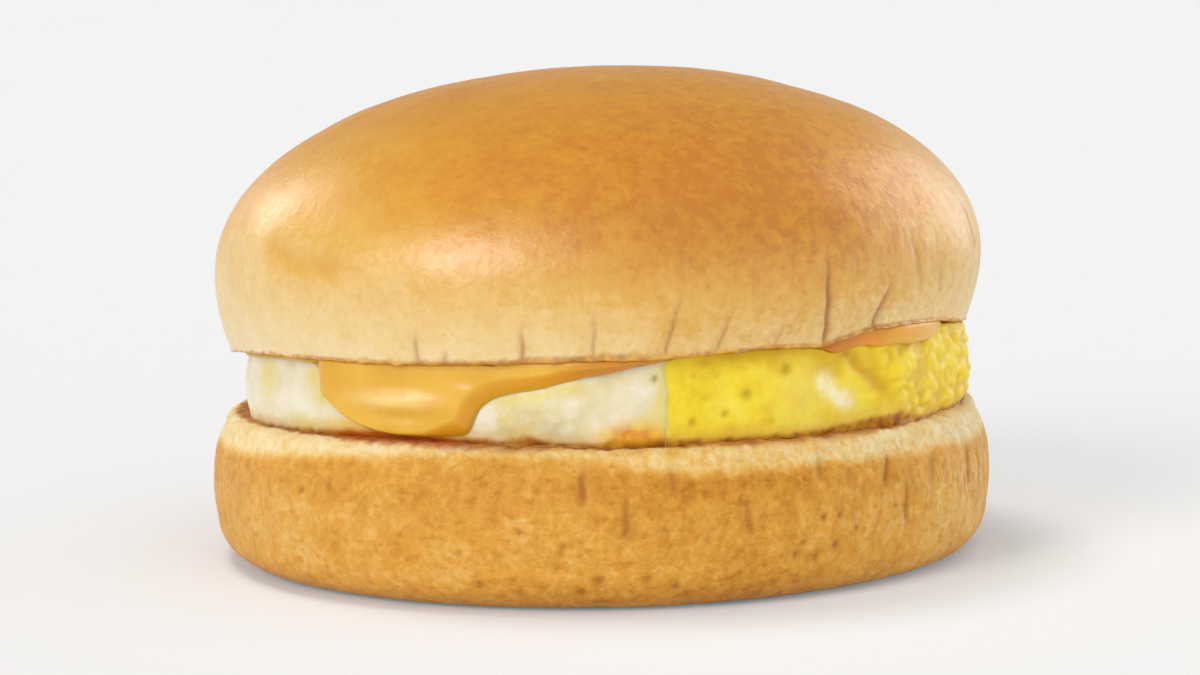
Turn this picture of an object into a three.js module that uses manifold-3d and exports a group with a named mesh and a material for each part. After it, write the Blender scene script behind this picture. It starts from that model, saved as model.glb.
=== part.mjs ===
// Egg and cheese breakfast sandwich on a soft round bun.
// Millimetres, +Z up. The origin is the middle of the flat face that the sandwich stands on.
// A bearing is an angle round the Z axis: 0 is the front (-Y) and 90 degrees is the right (+X).
// From the bottom up: heel of the bun, egg with a broken yolk, melted cheese slice, crown of the bun.

import * as THREE from 'three';
import { mergeVertices } from 'three/addons/utils/BufferGeometryUtils.js';
import Module from 'manifold-3d';

// Driving dimensions
const bunRadius = 50;            // widest circle of the heel
const heelHeight = 18.9;         // mean height of the heel's cut face
const crownRadius = 49.2;        // widest circle of the crown
const crownBase = 27.1;          // mean height of the crown's cut edge
const crownWaist = 36.3;         // height of the crown's widest circle
const crownTop = 61.6;           // height of the crown's top
const eggRadius = 45.3;          // mean radius of the egg
const sliceHalf = 39;            // half the side of the cheese slice
const sliceThick = 1.9;          // thickness of the melted slice
const restGap = 0.35;            // clearance between pieces that rest on each other

// Forms of the pieces
const heel = {
  foot: 43.9, footRound: 5.5, footTaper: 0.4,   // flat face underneath, the round beside it and its draw in
  rim: 48.4, rimRound: 1.6, rimTaper: 3,        // cut edge, its round and how late the side draws in to it
  waist: 9.2,                                   // height of the widest circle
};
const crown = {
  edge: 47.3, lip: 0.9, lipTaper: 1.9,          // cut edge, its round and how the side draws in to it
  squareness: 2.07,                             // 2 is a plain ellipse, more is fuller
  tiltBack: 1.8, tiltRight: 1.1,                // rise of the cut edge at the front and at the right
  waistTilt: 0.75, domeTilt: 0.6,               // share of it left at the waist, and lost up the dome
  skew: 0.9, skewFrom: 58,                      // the very top leans to the right
  faceRings: [0, 0.3, 0.58, 0.82, 1], sideRings: 5, domeRings: 12,
};
const egg = {
  shoulder: 2.2, bareShoulder: 0.9,             // round of the top edge under the slice and beside it
  foot: 1.1, belly: 0.5,
  lump: 0.3, lumpsAround: 17, lumpsMeander: 40, // lumps of the bare side
  foldOut: 0.6, foldFrom: [44, 52], foldTo: [84, 100],   // the yolk bulges between these bearings
  step: 0.7, brow: 2.0, rowGap: 0.6,            // where the top rises beyond the slice, its rings apart
};
const slice = {
  turn: 14, squareness: 6, edgeRound: 0.45,
  drop: 3.7,                                    // longest hang below the egg's shoulder
  footRoom: 0.7,                                // it stops this far above the heel
  bendRoom: 0.3,                                // it stands off the egg's shoulder by this much more
  lip: 2.0, lipFrom: [-30, -20], lipTo: [-20, 6],   // the front edge hangs beside the run corner
  bulge: 3.2, bulgeAt: 2, bulgeWide: 11,        // the front edge bows out
  thin: 0.5, thinAt: 3, thinWide: 11,           // and is pressed thin there
  thinFrom: 34, thinTo: 43,                     // between these radii
  edgeBand: 1.2,                                // the outer rings lie at least this far from the end
};
const yolk = { bearing: 69, reach: 60, radius: 54 };

// The slice's corners: bearing, half width, and how far it has run down for each squared
// millimetre that stands out
const sliceCorners = [
  { at: -31, run: 0.75, wide: 34 },
  { at: 59, run: 0.035, wide: 30 },
  { at: 149, run: 0.16, wide: 30 },
  { at: 239, run: 0.2, wide: 30 },
];

// Places where the crown's cut edge is lifted: bearing, height and half width
const crownLifts = [
  { at: 54, high: 1.35, wide: 11 },
  { at: -48, high: 0.45, wide: 16 },
];

// Uneven baking, as waves round the piece: how many, height, bearing of a crest
const heelFaceWaves = [[2, 0.35, -15], [3, 0.15, -20], [5, 0.1, 40]];
const heelFootWaves = [[1, 0.25, 90]];
const heelSideWaves = [[1, 0.15, -90], [2, 0.18, 30], [3, 0.15, 80], [6, 0.12, 10], [13, 0.07, 35]];
const crownEdgeWaves = [[7, 0.12, 20], [11, 0.08, 5]];
const crownSideWaves = [[2, 0.2, -20], [3, 0.22, 100], [7, 0.12, 24], [12, 0.08, 8]];
const eggSideWaves = [[1, 0.6, 90], [5, 0.25, 12], [9, 0.3, -38], [14, 0.18, 3]];

// Creases baked into the crust: bearing at the top and at the bottom, heights, depth and half width
const crownCreases = [
  { top: 32, bottom: 33, high: 40, low: 26, deep: 0.9, wide: 1.3 },
  { top: 46, bottom: 41, high: 37, low: 26, deep: 1.1, wide: 1.3 },
  { top: 11, bottom: 8, high: 38, low: 26, deep: 0.6, wide: 1.2 },
  { top: 17.5, bottom: 15.5, high: 36, low: 26, deep: 0.6, wide: 1.2 },
  { top: -1, bottom: -1.5, high: 37, low: 26, deep: 0.5, wide: 1.2 },
  { top: -12, bottom: -11, high: 35, low: 26, deep: 0.5, wide: 1.2 },
  { top: 62, bottom: 60, high: 43, low: 31, deep: 0.5, wide: 1.4 },
  { top: 78, bottom: 81, high: 46, low: 34, deep: 0.8, wide: 1.6 },
];
const heelCreases = [
  { top: -3, bottom: -2, high: 17.5, low: 9, deep: 0.5, wide: 1.3 },
  { top: 4, bottom: 4, high: 15, low: 8, deep: 0.4, wide: 1.3 },
  { top: 10, bottom: 9, high: 18, low: 11, deep: 0.5, wide: 1.3 },
  { top: 42, bottom: 41, high: 18, low: 9, deep: 0.5, wide: 1.3 },
  { top: 57, bottom: 56, high: 18, low: 8, deep: 0.5, wide: 1.4 },
  { top: 71, bottom: 70, high: 18, low: 9, deep: 0.5, wide: 1.5 },
];
const creaseFade = { foot: 1, head: 4 };   // millimetres over which a crease runs out

// Columns of faces: close together over the front, where the creases and the run cheese are
const frontColumns = { from: -66, to: 84, step: 2.5 };
const backColumnStep = 5.2;

const degrees = Math.PI / 180;
const quarter = Math.PI / 2;
const mix = THREE.MathUtils.lerp;
const smooth = THREE.MathUtils.smoothstep;
const clamp = THREE.MathUtils.clamp;
const angleBetween = (a, b) => Math.abs(THREE.MathUtils.euclideanModulo(a - b + 180, 360) - 180);
const bump = (bearing, at, wide) => Math.exp(-((angleBetween(bearing, at) / wide) ** 2));

function waves(bearing, list) {
  let sum = 0;
  for (const [count, height, crest] of list) {
    sum += height * Math.cos((bearing - crest) * count * degrees);
  }
  return sum;
}

function creaseDepth(creases, bearing, z, radius) {
  let depth = 0;
  for (const crease of creases) {
    const along = clamp((z - crease.low) / (crease.high - crease.low), 0, 1);
    const centre = mix(crease.bottom, crease.top, along);
    const away = angleBetween(bearing, centre) * degrees * radius;
    const start = smooth(z, crease.low - creaseFade.foot, crease.low + creaseFade.foot);
    const end = 1 - smooth(z, crease.high - creaseFade.head, crease.high);
    depth += crease.deep * start * end * Math.exp(-((away / crease.wide) ** 2));
  }
  return depth;
}

function columnBearings() {
  const { from, to, step } = frontColumns;
  const bearings = [];
  for (let bearing = from; bearing < to; bearing += step) bearings.push(bearing);
  const rest = 360 - (to - from);
  const count = Math.round(rest / backColumnStep);
  for (let i = 0; i < count; i++) bearings.push(to + (rest * i) / count);
  return bearings;
}

// A closed solid from rings round the Z axis. place(ring, bearing) gives [radius, z] of a point;
// the first and the last ring are single points on the axis. shiftX(z) moves a ring sideways.
function turned(rings, place, shiftX = () => 0) {
  const bearings = columnBearings();
  const points = [];
  const faces = [];
  const add = (ring, bearing) => {
    const [r, z] = place(ring, bearing);
    points.push(r * Math.sin(bearing * degrees) + shiftX(z), -r * Math.cos(bearing * degrees), z);
  };
  add(rings[0], 0);
  for (const ring of rings.slice(1, -1)) {
    for (const bearing of bearings) add(ring, bearing);
  }
  add(rings[rings.length - 1], 0);

  const columns = bearings.length;
  const rows = rings.length - 2;
  const last = points.length / 3 - 1;
  const at = (row, column) => 1 + row * columns + (column % columns);
  for (let c = 0; c < columns; c++) {
    faces.push(0, at(0, c + 1), at(0, c));
    for (let row = 0; row < rows - 1; row++) {
      faces.push(at(row, c), at(row, c + 1), at(row + 1, c + 1));
      faces.push(at(row, c), at(row + 1, c + 1), at(row + 1, c));
    }
    faces.push(at(rows - 1, c), at(rows - 1, c + 1), last);
  }
  const geometry = new THREE.BufferGeometry();
  geometry.setAttribute('position', new THREE.Float32BufferAttribute(points, 3));
  geometry.setIndex(faces);
  return geometry;
}

// The faces that the layers share

const heelFaceFlat = { from: 20, to: 46 };       // the cut face is flat inside the first radius
const crownFaceFlat = 32;

function heelFace(bearing, r) {
  return heelHeight + smooth(r, heelFaceFlat.from, heelFaceFlat.to) * waves(bearing, heelFaceWaves);
}

function crownEdge(bearing) {
  const tilt = waves(bearing, [[1, crown.tiltBack, 0], [1, crown.tiltRight, 90]]);
  let lift = waves(bearing, crownEdgeWaves);
  for (const { at, high, wide } of crownLifts) lift += high * bump(bearing, at, wide);
  return { tilt, lift };
}

function crownFace(bearing, r) {
  const { tilt, lift } = crownEdge(bearing);
  return crownBase + tilt * (r / crown.edge) + lift * smooth(r, crownFaceFlat, crown.edge);
}

function eggSide(bearing) {
  const fold = egg.foldOut * smooth(bearing, ...egg.foldFrom) * (1 - smooth(bearing, ...egg.foldTo));
  return eggRadius + fold + waves(bearing, eggSideWaves);
}

const eggShoulderStart = (bearing) => eggSide(bearing) - egg.shoulder;

// Thickness of the slice, which the crown presses thin along the front
function sliceDepth(bearing, r) {
  const pressed = slice.thin * bump(bearing, slice.thinAt, slice.thinWide);
  return sliceThick * (1 - pressed * smooth(r, slice.thinFrom, slice.thinTo));
}

// Height of the egg's top under the slice
const sliceBed = (bearing, r) => crownFace(bearing, r) - restGap - sliceDepth(bearing, r) - restGap;

// How far the cheese reaches from the middle, measured along the egg's top and down its side
function sliceReach(bearing) {
  const offAxis = (bearing - slice.turn) * degrees;
  const n = slice.squareness;
  const corner = (Math.abs(Math.cos(offAxis)) ** n + Math.abs(Math.sin(offAxis)) ** n) ** (-1 / n);
  const square = sliceHalf * corner;
  const start = eggShoulderStart(bearing);
  let run = 0;
  for (const { at, run: share, wide } of sliceCorners) run += share * bump(bearing, at, wide);
  const sag = run * Math.max(0, square - start) ** 2;
  const lip = slice.lip * smooth(bearing, ...slice.lipFrom) * (1 - smooth(bearing, ...slice.lipTo));
  const room = sliceBed(bearing, start) - egg.shoulder - heelFace(bearing, heel.rim) - slice.footRoom;
  const longest = egg.shoulder * quarter + Math.min(slice.drop, room);
  const hang = Math.min(longest, sag + lip * (1 - smooth(sag, 1, 5)));
  return Math.min(square, start) + hang + slice.bulge * bump(bearing, slice.bulgeAt, slice.bulgeWide);
}

// Height of the egg's top: low where the slice lies on it, up to the crown where it doesn't
function eggTop(bearing, r) {
  const reach = sliceReach(bearing);
  const open = smooth(eggShoulderStart(bearing) - reach, 0.2, 1.2);
  const bare = crownFace(bearing, r) - restGap;
  return mix(sliceBed(bearing, r), bare, open * smooth(r, reach + egg.step, reach + egg.brow));
}

const eggBelly = (share) => egg.belly * Math.sin(Math.PI * clamp(share, 0, 1));

// 1 where the egg's side is bare, 0 where the cheese lies against it
const bareSide = (bearing) => smooth(eggShoulderStart(bearing) - sliceReach(bearing), 0.2, 1.4);

// Lumps of the cooked egg: none where the cheese hangs down its side
function eggLumps(bearing, z) {
  const covered = smooth(sliceReach(bearing) - eggShoulderStart(bearing), 2, 3.4);
  const across = Math.sin((bearing * egg.lumpsAround + egg.lumpsMeander * Math.sin(0.8 * z)) * degrees);
  const upright = Math.cos(1.3 * z + 12 * bearing * degrees);
  return egg.lump * (1 - covered) * across * upright;
}

function heelGeometry() {
  const rings = [{ part: 'foot', share: 0 }, { part: 'foot', share: 0.6 }];
  for (let i = 0; i <= 4; i++) rings.push({ part: 'round', share: i / 4 });
  for (let i = 1; i <= 4; i++) rings.push({ part: 'side', share: i / 4 });
  rings.push({ part: 'rim', share: 0.5 }, { part: 'rim', share: 1 });
  rings.push({ part: 'face', share: 0.72 }, { part: 'face', share: 0.36 }, { part: 'face', share: 0 });

  return turned(rings, ({ part, share }, bearing) => {
    const swell = waves(bearing, heelSideWaves);
    const rimFoot = heelFace(bearing, heel.rim) - heel.rimRound;
    const turn = share * quarter;
    const foot = heel.foot + waves(bearing, heelFootWaves);
    if (part === 'foot') return [foot * share, 0];
    if (part === 'face') {
      const r = (heel.rim - heel.rimRound) * share;
      return [r, heelFace(bearing, r)];
    }
    if (part === 'round') {
      const r = mix(foot, bunRadius - heel.footTaper, Math.sin(turn)) + swell * share;
      return [r, heel.footRound * (1 - Math.cos(turn))];
    }
    if (part === 'rim') {
      const r = heel.rim - heel.rimRound * (1 - Math.cos(turn)) + swell * (1 - share);
      return [r, rimFoot + heel.rimRound * Math.sin(turn)];
    }
    const z = mix(heel.footRound, rimFoot, share);
    const above = Math.max(0, z - heel.waist) / (rimFoot - heel.waist);
    const below = Math.max(0, heel.waist - z) / (heel.waist - heel.footRound);
    const inward = (bunRadius - heel.rim) * above ** heel.rimTaper + heel.footTaper * below ** 2;
    return [bunRadius - inward + swell - creaseDepth(heelCreases, bearing, z, bunRadius), z];
  });
}

function crownGeometry() {
  const { faceRings, sideRings, domeRings } = crown;
  const rings = faceRings.map((share) => ({ part: 'face', share }));
  rings.push({ part: 'lip' });
  for (let i = 0; i < sideRings; i++) rings.push({ part: 'side', share: i / sideRings });
  for (let i = 0; i <= domeRings; i++) rings.push({ part: 'dome', share: i / domeRings });
  const swell = (bearing, z) => (1 - smooth(z, crownWaist, crownTop)) * waves(bearing, crownSideWaves);
  const lean = (z) => crown.skew * smooth(z, crown.skewFrom, crownTop);

  return turned(rings, ({ part, share }, bearing) => {
    const { tilt, lift } = crownEdge(bearing);
    if (part === 'face') {
      const r = (crown.edge - crown.lip) * share;
      return [r, crownFace(bearing, r)];
    }
    if (part === 'lip') {
      const halfWay = crown.lip * (1 - Math.SQRT1_2);
      return [crown.edge - halfWay, crownFace(bearing, crown.edge) + halfWay];
    }
    if (part === 'side') {
      const level = mix(crownBase + crown.lip, crownWaist, share);
      const under = 1 - share;
      const r = mix(crownRadius, crown.edge, under ** crown.lipTaper) + swell(bearing, level);
      const z = level + tilt * mix(1, crown.waistTilt, share) + lift * under;
      return [r - creaseDepth(crownCreases, bearing, z, r), z];
    }
    // the dome is a superellipse, with its rings spread evenly by angle
    const turn = share * quarter;
    const power = 2 / crown.squareness;
    const out = Math.cos(turn) ** power;
    const level = crownWaist + (crownTop - crownWaist) * Math.sin(turn) ** power;
    const r = out * (crownRadius + swell(bearing, level));
    const z = level + tilt * crown.waistTilt * out * (1 - crown.domeTilt * share);
    return [Math.max(0, r - creaseDepth(crownCreases, bearing, z, r)), z];
  }, lean);
}

// The slice is a skin over the egg: its rings go out along the underside, round the edge and back
function cheeseGeometry() {
  const rings = [0, 0.5, 0.85, 1].map((flat) => ({ side: 0, flat, hang: 0 }));
  for (const hang of [0.2, 0.4, 0.6, 0.8, 1]) rings.push({ side: 0, flat: 1, hang });
  const upper = rings.map((ring) => ({ ...ring, side: 1 })).reverse();
  rings.push({ side: 0.5, flat: 1, hang: 1 }, ...upper);

  return turned(rings, ({ side, flat, hang }, bearing) => {
    const start = eggShoulderStart(bearing);
    const reach = sliceReach(bearing);
    const inner = Math.min(start, reach - slice.edgeBand);
    const end = side === 0.5 ? reach : reach - slice.edgeRound;
    const along = inner * flat + (end - inner) * hang;
    if (along <= start) {
      return [along, crownFace(bearing, along) - restGap - sliceDepth(bearing, along) * (1 - side)];
    }
    const rimTop = eggTop(bearing, start);
    const angle = Math.min((along - start) / egg.shoulder, quarter);
    const off = restGap + slice.bendRoom * Math.sin(2 * angle) + sliceDepth(bearing, start) * side;
    const down = Math.max(0, along - start - egg.shoulder * quarter);
    const z = rimTop - egg.shoulder + (egg.shoulder + off) * Math.cos(angle) - down;
    const belly = eggBelly(down / (rimTop - egg.shoulder - heelHeight));
    return [start + (egg.shoulder + off) * Math.sin(angle) + belly, z];
  });
}

function eggGeometry() {
  const rings = [{ part: 'under', share: 0 }, { part: 'under', share: 0.55 }, { part: 'under', share: 1 }];
  for (const share of [0, 0.3, 0.6, 1]) rings.push({ part: 'side', share });
  for (const share of [0.35, 0.7, 1]) rings.push({ part: 'shoulder', share });
  rings.push({ part: 'brow' }, { part: 'step' });
  for (const share of [0.86, 0.45, 0]) rings.push({ part: 'top', share });

  return turned(rings, ({ part, share }, bearing) => {
    const side = eggSide(bearing);
    const start = eggShoulderStart(bearing);
    const shoulder = mix(egg.shoulder, egg.bareShoulder, bareSide(bearing));
    const roof = eggTop(bearing, side - shoulder);
    if (part === 'under') {
      const r = (side - egg.foot) * share;
      return [r, heelFace(bearing, r) + restGap];
    }
    if (part === 'side') {
      const low = heelFace(bearing, side - egg.foot) + restGap + egg.foot;
      const high = roof - shoulder;
      const z = mix(low, high, share);
      return [side + eggBelly((high - z) / (high - heelHeight)) + eggLumps(bearing, z), z];
    }
    if (part === 'shoulder') {
      const angle = (1 - share) * quarter;
      return [side - shoulder * (1 - Math.sin(angle)), roof - shoulder * (1 - Math.cos(angle))];
    }
    const reach = sliceReach(bearing);
    const brow = Math.min(reach + egg.brow, start - egg.rowGap);
    const step = Math.min(reach + egg.step, brow - egg.rowGap);
    const radii = { brow, step, top: (step - egg.rowGap) * share };
    return [radii[part], eggTop(bearing, radii[part])];
  });
}

// Cuts the egg into its white and its broken yolk along a round wall
async function splitEgg() {
  const wasm = await Module();
  wasm.setup();
  const solid = (geometry) => {
    const bare = geometry.clone();
    bare.deleteAttribute('normal');
    bare.deleteAttribute('uv');
    const merged = mergeVertices(bare);
    return new wasm.Manifold(new wasm.Mesh({
      numProp: 3,
      vertProperties: new Float32Array(merged.attributes.position.array),
      triVerts: new Uint32Array(merged.index.array),
    }));
  };
  const back = (manifold) => {
    const mesh = manifold.getMesh();
    const geometry = new THREE.BufferGeometry();
    geometry.setAttribute('position', new THREE.BufferAttribute(new Float32Array(mesh.vertProperties), 3));
    geometry.setIndex(new THREE.BufferAttribute(new Uint32Array(mesh.triVerts), 1));
    return geometry;
  };
  const wall = (radius) => {
    const drum = new THREE.CylinderGeometry(radius, radius, 60, 72);
    drum.rotateX(quarter);
    const bearing = yolk.bearing * degrees;
    drum.translate(yolk.reach * Math.sin(bearing), -yolk.reach * Math.cos(bearing), heelHeight);
    return solid(drum);
  };
  const whole = solid(eggGeometry());
  return {
    white: back(whole.subtract(wall(yolk.radius + restGap))),
    yolk: back(whole.intersect(wall(yolk.radius))),
  };
}

function piece(name, geometry, material) {
  geometry.computeVertexNormals();
  const mesh = new THREE.Mesh(geometry, new THREE.MeshStandardMaterial(material));
  mesh.name = name;
  return mesh;
}

const crust = { color: 0xd69a4c, roughness: 0.55, metalness: 0 };
const paleCrust = { color: 0xdca358, roughness: 0.75, metalness: 0 };
const cookedWhite = { color: 0xefe6cf, roughness: 0.4, metalness: 0 };
const cookedYolk = { color: 0xe6cb3a, roughness: 0.5, metalness: 0 };
const meltedCheese = { color: 0xeab343, roughness: 0.3, metalness: 0 };
const eggParts = await splitEgg();

const sandwich = new THREE.Group();
sandwich.add(piece('bun_heel', heelGeometry(), paleCrust));
sandwich.add(piece('egg_white', eggParts.white, cookedWhite));
sandwich.add(piece('egg_yolk', eggParts.yolk, cookedYolk));
sandwich.add(piece('cheese_slice', cheeseGeometry(), meltedCheese));
sandwich.add(piece('bun_crown', crownGeometry(), crust));

export default sandwich;
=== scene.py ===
# Egg and cheese breakfast sandwich: soft bun, cooked egg with a broken yolk, melted slice.
# Sizes are in millimetres and turn into metres when a mesh is made. A bearing is an angle
# round the upright axis: 0 is the front, 90 the right. A place in a list starts with its
# bearing, and a bump's half width is in degrees.

import math

import bpy
import numpy as np
from mathutils import Matrix, noise


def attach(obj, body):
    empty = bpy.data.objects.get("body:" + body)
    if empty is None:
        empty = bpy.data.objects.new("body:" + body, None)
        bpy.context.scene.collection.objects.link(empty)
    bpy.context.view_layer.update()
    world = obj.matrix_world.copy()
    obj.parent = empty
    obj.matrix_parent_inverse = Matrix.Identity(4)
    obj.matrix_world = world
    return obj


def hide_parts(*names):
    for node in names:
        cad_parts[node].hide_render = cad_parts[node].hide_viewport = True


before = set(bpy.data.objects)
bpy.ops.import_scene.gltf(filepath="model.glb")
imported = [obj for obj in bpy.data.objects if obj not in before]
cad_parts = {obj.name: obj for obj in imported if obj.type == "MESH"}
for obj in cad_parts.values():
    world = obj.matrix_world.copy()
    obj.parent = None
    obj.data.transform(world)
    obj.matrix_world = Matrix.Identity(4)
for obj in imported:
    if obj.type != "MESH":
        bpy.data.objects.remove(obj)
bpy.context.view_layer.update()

print("frame loaded:", sorted(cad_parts))


# small maths

sideRadius = 46  # a middle radius of the layers, for distances along their sides
quarter = math.pi / 2
columns = 640


def mix(first, second, share):
    return first + (second - first) * share


def smooth(value, low, high):
    share = np.clip((value - low) / (high - low), 0, 1)
    return share * share * (3 - 2 * share)


def between(value, rise, fall):
    # goes up to 1 over the span of rise and back to 0 over the span of fall
    return smooth(value, *rise) * (1 - smooth(value, *fall))


def turned(bearing, at):
    return (bearing - at + 180) % 360 - 180


def bump(bearing, at, wide):
    return np.exp(-(turned(bearing, at) / wide) ** 2)


def bumps(bearing, places):
    # each place has how much it adds, and its half width
    return sum(much * bump(bearing, at, wide) for at, much, wide in places)


def spot(bearing, z, at, height, wide, tall):
    # 1 in the middle of an oval on the side of a piece, 0 outside it
    return np.exp(-(turned(bearing, at) / wide) ** 2 - ((z - height) / tall) ** 2)


def spots(bearing, z, places):
    return sum(spot(bearing, z, *place) for place in places)


def toSegment(x, y, spanX, spanY):
    # distance to a straight piece of line that starts at 0, 0
    share = np.clip((x * spanX + y * spanY) / (spanX ** 2 + spanY ** 2), 0, 1)
    return np.hypot(x - share * spanX, y - share * spanY)


def lineDistance(bearing, z, places):
    # millimetres over a side to a line through points of bearing and height
    away = np.full(np.broadcast(bearing, z).shape, np.inf)
    for (fromAt, fromZ), (toAt, toZ) in zip(places, places[1:]):
        x = np.radians(turned(bearing, fromAt)) * sideRadius
        spanX = math.radians(toAt - fromAt) * sideRadius
        away = np.minimum(away, toSegment(x, z - fromZ, spanX, toZ - fromZ))
    return away


def waves(bearing, rows):
    # each has its count round the piece, its height and the bearing of a crest
    return sum(high * np.cos(np.radians((bearing - crest) * count)) for count, high, crest in rows)


def through(bearing, places, blur=0.6):
    # a softened line through points of bearing and value
    at, value = np.array(places).T
    return sum(np.interp(bearing + turn * blur, at, value) for turn in (-1, -0.5, 0, 0.5, 1)) / 5


def grain(grid, size, octaves=2, stretch=(1, 1, 1), shift=0):
    # smooth noise of about -1 to 1 whose lumps are this many millimetres
    places = grid.reshape(-1, 3) / (np.array(stretch) * size) + shift
    values = [noise.fractal(place, 1.0, 2.0, octaves) for place in places.tolist()]
    return np.array(values).reshape(grid.shape[:-1])


def lumps(grid, kind):
    # a kind of lumps has its height, its size, its octaves and the shift of its noise
    height, size, octaves, shift = kind
    return height * grain(grid, size, octaves, shift=shift)


def curds(grid, size, shift=0):
    # rounded lumps, 1 in the middle of each and 0 in the furrows between them
    values = []
    for place in (grid.reshape(-1, 3) / size + shift).tolist():
        near = noise.voronoi(place)[0]
        values.append(near[1] - near[0])
    return smooth(np.array(values).reshape(grid.shape[:-1]), 0, 0.45)


# meshes from rings

def bearings(busy, busyShare=1.6, busyWide=1.6):
    # columns round a piece: closer together over the front and at the busy bearings
    steps = np.arange(-180, 180, 0.05)
    weight = 2 - smooth(np.abs(steps), 85, 115)
    for at in busy:
        weight = weight + busyShare * bump(steps, at, busyWide)
    total = np.cumsum(weight)
    return np.interp(np.arange(columns) / columns, total / total[-1], steps)


def shares(count):
    # equal steps down a column, without 0 and up to 1
    return np.linspace(0, 1, count + 1)[1:, None]


def fromMiddle(count):
    # equal steps from close to the axis out to the edge
    return np.linspace(0.05, 1, count)[:, None]


def stackRows(rows, bearing):
    # radii and heights of all the rows, with a column for each bearing
    full = [np.stack(np.broadcast_arrays(*row, bearing)[:2]) for row in rows]
    return np.concatenate(full, axis=1)


def ringPoints(radius, z, bearing, shiftX=0):
    radius, z, turn = np.broadcast_arrays(radius, z, np.radians(bearing))
    return np.stack([radius * np.sin(turn) + shiftX, -radius * np.cos(turn), z], axis=-1)


def outward(grid):
    around = np.roll(grid, -1, axis=1) - np.roll(grid, 1, axis=1)
    along = np.gradient(grid, axis=0)
    normal = np.cross(around, along)
    return normal / np.maximum(np.linalg.norm(normal, axis=-1, keepdims=True), 1e-9)


def ringMesh(name, grid, values=None):
    # rows of points round the axis, closed by one point at each end
    rows, count = grid.shape[:2]
    points = np.vstack([grid[0].mean(axis=0), grid.reshape(-1, 3), grid[-1].mean(axis=0)])
    index = np.arange(rows * count).reshape(rows, count) + 1
    right = np.roll(index, -1, axis=1)
    quads = np.stack([index[:-1], right[:-1], right[1:], index[1:]], axis=-1).reshape(-1, 4)
    start = [(0, int(b), int(a)) for a, b in zip(index[0], right[0])]
    end = [(int(a), int(b), rows * count + 1) for a, b in zip(index[-1], right[-1])]
    mesh = bpy.data.meshes.new(name)
    mesh.from_pydata((points * 0.001).tolist(), [], start + quads.tolist() + end)
    for key, value in (values or {}).items():
        value = np.broadcast_to(value, (rows, count))
        flat = np.concatenate([[value[0].mean()], value.ravel(), [value[-1].mean()]])
        mesh.attributes.new(key, "FLOAT", "POINT").data.foreach_set("value", flat)
    mesh.shade_smooth()
    return mesh


def newObject(name, data):
    made = bpy.data.objects.new(name, data)
    bpy.context.scene.collection.objects.link(made)
    return made


def addPiece(name, mesh, finish, node):
    piece = newObject(name, mesh)
    mesh.materials.append(finish)
    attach(piece, "root")
    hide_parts(node)
    print("made", name, len(mesh.polygons), "faces")


# material nodes

def tone(red, green, blue):
    # a colour as it is read off a screen, 0 to 255
    parts = [value / 255 for value in (red, green, blue)]
    return [part / 12.92 if part <= 0.04045 else ((part + 0.055) / 1.055) ** 2.4 for part in parts] + [1]


def feed(tree, node, sockets):
    for key, value in sockets.items():
        if isinstance(value, bpy.types.NodeSocket):
            tree.links.new(value, node.inputs[key])
        else:
            node.inputs[key].default_value = value


def addNode(tree, kind, sockets, **settings):
    node = tree.nodes.new("ShaderNode" + kind)
    for key, value in settings.items():
        setattr(node, key, value)
    feed(tree, node, sockets)
    return node


def newFinish(name):
    finish = bpy.data.materials.new(name)
    finish.use_nodes = True
    tree = finish.node_tree
    tree.nodes.clear()
    shader = addNode(tree, "BsdfPrincipled", {})
    addNode(tree, "OutputMaterial", {"Surface": shader.outputs[0]})
    return finish, tree, shader


def calc(tree, kind, first, second=0.0, third=0.0, clamp=False):
    sockets = {0: first, 1: second, 2: third}
    return addNode(tree, "Math", sockets, operation=kind, use_clamp=clamp).outputs[0]


def times(tree, first, second, clamp=False):
    return calc(tree, "MULTIPLY", first, second, clamp=clamp)


def timesPlus(tree, first, second, third, clamp=False):
    return calc(tree, "MULTIPLY_ADD", first, second, third, clamp)


def held(tree, key):
    return addNode(tree, "Attribute", {}, attribute_name=key).outputs["Fac"]


def speckle(tree, size, detail=2.0, roughness=0.5, stretch=(1, 1, 1), shift=0.0, low=0.3, high=0.7):
    # noise with lumps of this many millimetres, spread to 0 to 1
    place = addNode(tree, "TexCoord", {})
    scaled = addNode(tree, "Mapping", {
        "Vector": place.outputs["Object"],
        "Scale": [1000 / (size * part) for part in stretch],
        "Location": (shift, shift * 1.7, shift * 0.6),
    })
    clouds = addNode(tree, "TexNoise", {
        "Vector": scaled.outputs[0], "Scale": 1.0, "Detail": detail, "Roughness": roughness,
    })
    spread = {"Value": clouds.outputs["Fac"], "From Min": low, "From Max": high}
    return addNode(tree, "MapRange", spread).outputs[0]


def ramp(tree, value, stops):
    node = addNode(tree, "ValToRGB", {0: value})
    points = node.color_ramp.elements
    while len(points) < len(stops):
        points.new(0.5)
    for point, (at, colour) in zip(points, stops):
        point.position = at
        point.color = tone(*colour)
    return node.outputs[0]


# mixes a colour over another by a share; used for the pieces' own colours and for painted shade and
# highlights
def paint(tree, share, under, over):
    if not isinstance(over, bpy.types.NodeSocket):
        over = tone(*over)
    return addNode(tree, "Mix", {0: share, 6: under, 7: over}, data_type="RGBA").outputs[2]


def paints(tree, colour, places):
    # each has the mask that it follows, its strength and its colour
    for key, strength, over in places:
        colour = paint(tree, times(tree, held(tree, key), strength), colour, over)
    return colour


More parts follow.
